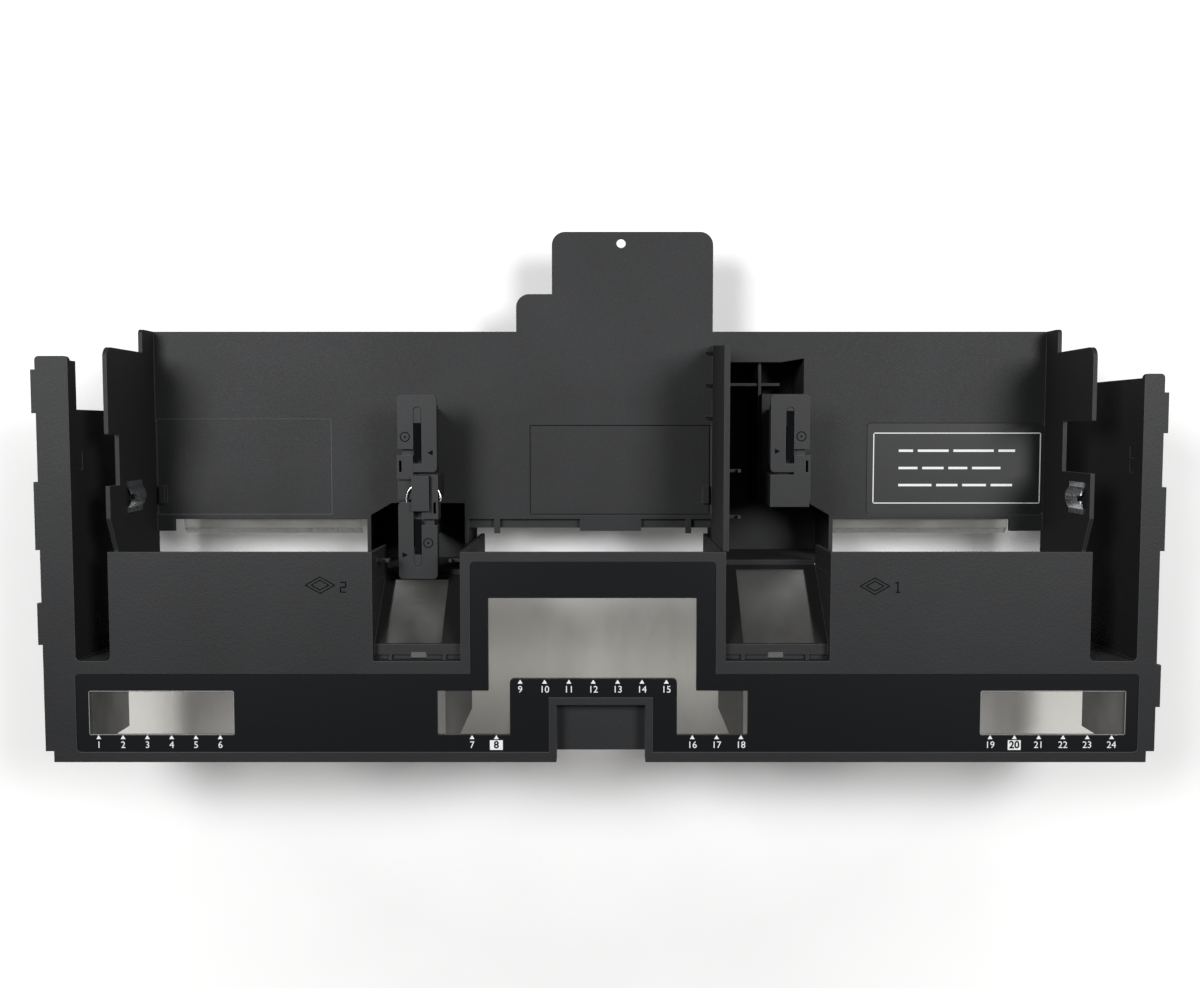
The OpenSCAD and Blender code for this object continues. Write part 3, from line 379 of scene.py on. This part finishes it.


# ---- Clear panes: polycarbonate sheet under the film and under the ramps' windows, a
# little hazy and scuffed. The ramps' panes take a darker tint as painted shade for the shadow
# under them, and the flaps are thin clear film.
def clear_sheet(name, haze, tint):
    """Clear sheet. What passes through is tinted, Fresnel adds gloss, and a pale veil covers
    it in long wipe streaks: cover = haze where the streak noise is low and 3 x haze where it
    is high."""
    material, tree = new_material(name)
    at = add(tree, "TexCoord").outputs["Object"]
    turned = add(tree, "Mapping", [("Vector", at)], Rotation=(0, 0, 0.25), Scale=(1, 0.22, 1))
    streak = add(tree, "TexNoise", [("Vector", turned.outputs[0])], Scale=1 / (16 * MM), Detail=3.0)
    scuff = add(tree, "TexNoise", [("Vector", turned.outputs[0])], Scale=1 / (2 * MM), Detail=4.0)
    rough = add(tree, "MapRange", [("Value", scuff.outputs["Fac"])], From_Min=0.4, From_Max=0.75,
                To_Min=0.03, To_Max=0.2)
    veil = add(tree, "BsdfDiffuse", Color=srgb("#c9c8c6"))
    through = add(tree, "BsdfTransparent", Color=srgb(tint))
    gloss = add(tree, "BsdfGlossy", [("Roughness", rough.outputs[0])], Color=(1, 1, 1, 1))
    rim = add(tree, "Fresnel", IOR=1.5)
    clear = add(tree, "MixShader", [("Fac", rim.outputs[0]), (1, through.outputs[0]),
                                    (2, gloss.outputs[0])])
    cover = add(tree, "MapRange", [("Value", streak.outputs["Fac"])], From_Min=0.38, From_Max=0.66,
                To_Min=haze, To_Max=haze * 3)
    out = add(tree, "MixShader", [("Fac", cover.outputs[0]), (1, clear.outputs[0]),
                                  (2, veil.outputs[0])])
    add(tree, "OutputMaterial", [("Surface", out.outputs[0])])
    return material


pane_material = clear_sheet("polycarbonate_pane", 0.03, "#f6f5f2")
for name in ("window_left", "window_middle", "window_right"):
    dress(name, pane_material)
# Painted shade: a darker tint on the ramps' panes.
shade_tinted_ramp_pane = clear_sheet("polycarbonate_ramp_pane", 0.02, "#c6c6c4")
for name in ("window_ramp_left", "window_ramp_right"):
    dress(name, shade_tinted_ramp_pane)
flap_material = clear_sheet("clear_film_flap", 0.04, "#f4f4f2")
for name in ("flap_left", "flap_right"):
    dress(name, flap_material)


# ---- Locks: small mouldings in black acetal. They are a little glossier than the hood, and
# the painted highlight on their edges is stronger.
lock_plastic = grained_plastic("acetal_lock_moulding", ("#17181a", "#1f2022"), 0.4, 0.015, 0.55,
                               edge_highlight_level=0.35)
for name in ("lock_base_left", "lock_base_right", "lock_slider_rear", "lock_slider_front",
             "lock_slider_right", "lock_cap"):
    dress(name, lock_plastic)


# ---- Steel: the wire ring under the left block's cap, and the side clips, riveted to the
# inner faces of the bay walls. Both are bright spring steel.
def bright_steel():
    """Rolled steel strip with fine lines along the roll."""
    material, tree = new_material("rolled_spring_steel")
    at = add(tree, "TexCoord").outputs["Object"]
    stretch = add(tree, "Mapping", [("Vector", at)], Scale=(1, 0.08, 1))
    lines = add(tree, "TexNoise", [("Vector", stretch.outputs[0])], Scale=1 / (0.3 * MM),
                Detail=2.0)
    rough = add(tree, "MapRange", [("Value", lines.outputs["Fac"])], From_Min=0.3, From_Max=0.7,
                To_Min=0.15, To_Max=0.35)
    bump = add(tree, "Bump", [("Height", lines.outputs["Fac"])], Strength=0.4, Distance=0.01 * MM)
    surface = add(tree, "BsdfPrincipled",
                  [("Roughness", rough.outputs[0]), ("Normal", bump.outputs[0])],
                  Base_Color=srgb("#d5d7d9"), Metallic=1.0)
    add(tree, "OutputMaterial", [("Surface", surface.outputs[0])])
    return material


steel = bright_steel()
for name in ("lock_ring", "side_clip_left", "side_clip_right"):
    dress(name, steel)


# ---- Notice plate: a smooth black label in the right recess of the tray. Its white frame
# and bars are a print of their own, further down.
dress("notice_plate", film_material("black_label_stock", "#17181a", 0.52))


# ---- Printed marks: white ink on the film, laid 0.03 mm thick. A small triangle points at
# each memory slot with a plain number under it.
def ink_material(name, tone, worn_tone, rough=0.6, ior=1.5):
    """Matt screen-printed ink. Fine noise mixes in the tone of a worn place. A dark mark takes
    a low ior, so that little gloss lifts it."""
    material, tree = new_material(name)
    at = add(tree, "TexCoord").outputs["Object"]
    wear = add(tree, "TexNoise", [("Vector", at)], Scale=1 / (0.6 * MM), Detail=2.0)
    shade = add(tree, "MixRGB", [("Fac", wear.outputs["Fac"])], Color1=srgb(tone),
                Color2=srgb(worn_tone))
    surface = add(tree, "BsdfPrincipled", [("Base Color", shade.outputs[0])], Roughness=rough,
                  IOR=ior)
    add(tree, "OutputMaterial", [("Surface", surface.outputs[0])])
    return material


white_ink = ink_material("white_screen_ink", "#f2f3f3", "#c4c6c7")
INK = 0.03 * MM


def flat_piece(name, outlines, z, material, body="shroud"):
    """Makes one thin piece from closed outlines in the plane at height z. Each outline is
    filled, given a thickness, and joined with the others."""
    verts, faces = [], []
    for outline in outlines:
        ring = np.asarray(outline, float)
        after = np.roll(ring, -1, axis=0)
        if np.sum(ring[:, 0] * after[:, 1] - after[:, 0] * ring[:, 1]) < 0:
            ring = ring[::-1]
        n, k = len(verts), len(ring)
        verts += [(x, y, z) for x, y in ring] + [(x, y, z + INK) for x, y in ring]
        faces.append([n + i for i in range(k)][::-1])
        faces.append([n + k + i for i in range(k)])
        faces += [[n + i, n + (i + 1) % k, n + k + (i + 1) % k, n + k + i] for i in range(k)]
    mesh = bpy.data.meshes.new(name)
    mesh.from_pydata(verts, [], faces)
    mesh.materials.append(material)
    piece = bpy.data.objects.new(name, mesh)
    bpy.context.collection.objects.link(piece)
    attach(piece, body)


CAP_SHARE = 0.72


def number_piece(name, labels, height, z, material, bold=0.0):
    """Writes plain numbers in the built-in face, each centred on its place, as one thin mesh.
    The face's digits are 0.72 of its size high."""
    parts = []
    for text, x, y in labels:
        curve = bpy.data.curves.new(name, "FONT")
        curve.body = text
        curve.size = height / CAP_SHARE
        curve.align_x = "CENTER"
        curve.align_y = "CENTER"
        curve.extrude = INK / 2
        curve.resolution_u = 3
        curve.offset = bold
        holder = bpy.data.objects.new(name, curve)
        bpy.context.collection.objects.link(holder)
        bpy.context.view_layer.update()
        depsgraph = bpy.context.evaluated_depsgraph_get()
        mesh = bpy.data.meshes.new_from_object(holder.evaluated_get(depsgraph))
        mesh.transform(Matrix.Translation((x, y, z + INK / 2)))
        parts.append(mesh)
        bpy.data.objects.remove(holder)
    verts, faces = [], []
    for mesh in parts:
        n = len(verts)
        verts += [tuple(v.co) for v in mesh.vertices]
        faces += [[n + i for i in p.vertices] for p in mesh.polygons]
        bpy.data.meshes.remove(mesh)
    joined = bpy.data.meshes.new(name)
    joined.from_pydata(verts, [], faces)
    joined.materials.append(material)
    piece = bpy.data.objects.new(name, joined)
    bpy.context.collection.objects.link(piece)
    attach(piece, "shroud")


film_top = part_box("printed_film")[1][2]
SLOT_PITCH = 9.4 * MM
FRONT_ROW = 10.6 * MM
MIDDLE_ROW = 32.3 * MM
TRIANGLE_HALF = 0.95 * MM
TRIANGLE_H = 1.55 * MM
NUMBER_DROP = 3.9 * MM
BOX_HALF = (2.5 * MM, 1.9 * MM)
BOXED = {"8", "20"}


def slot_row(first, count, start):
    """Places of a row of slots: number and distance from the centre line."""
    return [(str(start + i), first + i * SLOT_PITCH) for i in range(count)]


rows = [(slot_row(-193.9 * MM, 6, 1), FRONT_ROW), (slot_row(-49.5 * MM, 2, 7), FRONT_ROW),
        (slot_row(-30.8 * MM, 7, 9), MIDDLE_ROW), (slot_row(35.7 * MM, 3, 16), FRONT_ROW),
        (slot_row(150.9 * MM, 6, 19), FRONT_ROW)]
triangles, labels, boxes, inverse = [], [], [], []
for row, tip_place in rows:
    tip = front_edge + tip_place
    for text, x in row:
        base = tip - TRIANGLE_H
        triangles.append([(x - TRIANGLE_HALF, base), (x + TRIANGLE_HALF, base), (x, tip)])
        place = (text, x, tip - NUMBER_DROP)
        if text in BOXED:
            boxes.append([(x + sx * BOX_HALF[0], place[2] + sy * BOX_HALF[1])
                          for sx, sy in ((-1, -1), (1, -1), (1, 1), (-1, 1))])
            inverse.append(place)
        else:
            labels.append(place)
flat_piece("slot_triangles", triangles, film_top, white_ink)
flat_piece("slot_boxes", boxes, film_top, white_ink)
number_piece("slot_numbers", labels, 2.7 * MM, film_top, white_ink)
black_ink = ink_material("black_screen_ink", "#060607", "#0d0e0f", 0.9, 1.1)
number_piece("slot_numbers_dark", inverse, 2.9 * MM, film_top + 1.5 * INK, black_ink,
             bold=0.12 * MM)


# ---- Window borders: a painted highlight for the lit edge round the film's two end windows,
# drawn as a thin silver-grey line in ink laid as thick as the white.
def box_outline(low, high):
    """The four corners of an upright box between two corners, both in mm."""
    corners = [(low[0], low[1]), (high[0], low[1]), (high[0], high[1]), (low[0], high[1])]
    return [(x * MM, front_edge + y * MM) for x, y in corners]


def outline_bars(points, half):
    """Turns a closed path of upright and level runs, in mm, into one thin bar for each run."""
    bars = []
    for (x0, y0), (x1, y1) in zip(points, points[1:] + points[:1]):
        low = (min(x0, x1) - half, min(y0, y1) - half)
        high = (max(x0, x1) + half, max(y0, y1) + half)
        bars.append(box_outline(low, high))
    return bars


def box_path(low, high):
    """A closed path round a box, in mm."""
    return [(low[0], low[1]), (high[0], low[1]), (high[0], high[1]), (low[0], high[1])]


window_edge_highlight_ink = ink_material("silver_screen_ink", "#8d8f90", "#6a6c6d")
BORDER_HALF = 0.14
borders = outline_bars(box_path((-197.3, 10.8), (-141.5, 27.8)), BORDER_HALF)
borders += outline_bars(box_path((147.1, 10.8), (202.9, 27.8)), BORDER_HALF)
flat_piece("window_borders", borders, film_top, window_edge_highlight_ink)


# ---- Notice plate's print: a thin white frame with three rows of plain bars in it, where
# such plates carry a line of help. The bars stand for words and say nothing.
plate_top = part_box("notice_plate")[1][2]
FRAME_HALF = 0.2
BAR_HALF = 0.5
BAR_START = 125.9
BAR_GAP = 2
BAR_ROWS = ((119.7, (6, 13, 17, 7)), (112.4, (8, 9, 8, 12)), (105.2, (14, 9, 10, 9)))
frame_path = box_path((115.3, 97.6), (185.5, 127.1))
flat_piece("notice_frame", outline_bars(frame_path, FRAME_HALF), plate_top, white_ink)
bars = []
for y, lengths in BAR_ROWS:
    x = BAR_START
    for length in lengths:
        bars.append(box_outline((x, y - BAR_HALF), (x + length, y + BAR_HALF)))
        x += length + BAR_GAP
flat_piece("notice_bars", bars, plate_top, white_ink)


# ---- Recess edges: the two other label places of the tray are bare, with a fine step round
# them. A pale line along the left one's step is a painted highlight, and a dark line along the
# middle one's step is painted shade.
FLOOR_TOP = 32.5 * MM
EDGE_HALF = 0.12
# Painted highlight for the left recess's step, painted shade for the middle one's.
recess_edge = ink_material("rubbed_recess_edge", "#4b4c4e", "#3a3b3d")
recess_shade = ink_material("shaded_recess_edge", "#0c0d0e", "#151618", 0.9, 1.1)
for name, path, material in (
        ("recess_edge_left", box_path((-186.5, 92.9), (-113.2, 133)), recess_edge),
        ("recess_edge_middle", box_path((-29.5, 92.9), (46, 130.4)), recess_shade)):
    flat_piece(name, outline_bars(path, EDGE_HALF), FLOOR_TOP, material)


# ---- Marks on the locks: a ring with a dot for the open place and an arrow for the way to
# slide, both moulded in the slider's top, and a dark box laid over the slot that the guide runs
# in, as painted shade for the slot's depth.
lock_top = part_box("lock_slider_rear")[1][2]
lock_mark_and_shade_ink = ink_material("moulded_lock_mark", "#08090a", "#101112", 0.9, 1.1)
RING_OUT = 2.0
RING_IN = 1.6
DOT_R = 0.45
ARROW_HALF = 1.1
LOCK_SLOT_HALF = 1.4
RING_GAP = 0.02


def lock_marks_and_slot_shade(name, body, ring, arrow, way, slot_x, slot_from, slot_to):
    """Ring, dot and arrow of one slider, and a dark box of painted shade over its slot, placed
    in mm. The ring is one outline with a gap of 0.04 radian. way is 1 where the arrow points
    to +X."""
    angles = np.linspace(RING_GAP, 2 * np.pi - RING_GAP, 28)
    arc = np.stack([np.cos(angles), np.sin(angles)], axis=1)
    middle = np.array(ring)
    loop = np.concatenate([middle + RING_OUT * arc, (middle + RING_IN * arc)[::-1]])
    dot = middle + DOT_R * arc[::3]
    head = np.array(arrow) + ARROW_HALF * np.array([(way, 0), (-way, 1), (-way, -1)])
    outlines = [shape * MM + (0, front_edge) for shape in (loop, dot, head)]
    # Painted shade: a dark box over the slot stands for its depth.
    outlines.append(box_outline((slot_x - LOCK_SLOT_HALF, slot_from),
                                (slot_x + LOCK_SLOT_HALF, slot_to)))
    flat_piece(name, outlines, lock_top, lock_mark_and_shade_ink, body=body)


lock_marks_and_slot_shade("rear_lock_marks", "slider_rear", (-77.3, 125.7), (-67.4, 119.4), -1,
           -72.4, 116.4, 131.2)
lock_marks_and_slot_shade("front_lock_marks", "slider_front", (-68.4, 83.5), (-77.6, 78.7), 1,
           -72.4, 79.0, 93.0)
lock_marks_and_slot_shade("right_lock_marks", "slider_right", (79.8, 125.9), (70.4, 120.0), 1,
           75.4, 116.4, 136.0)
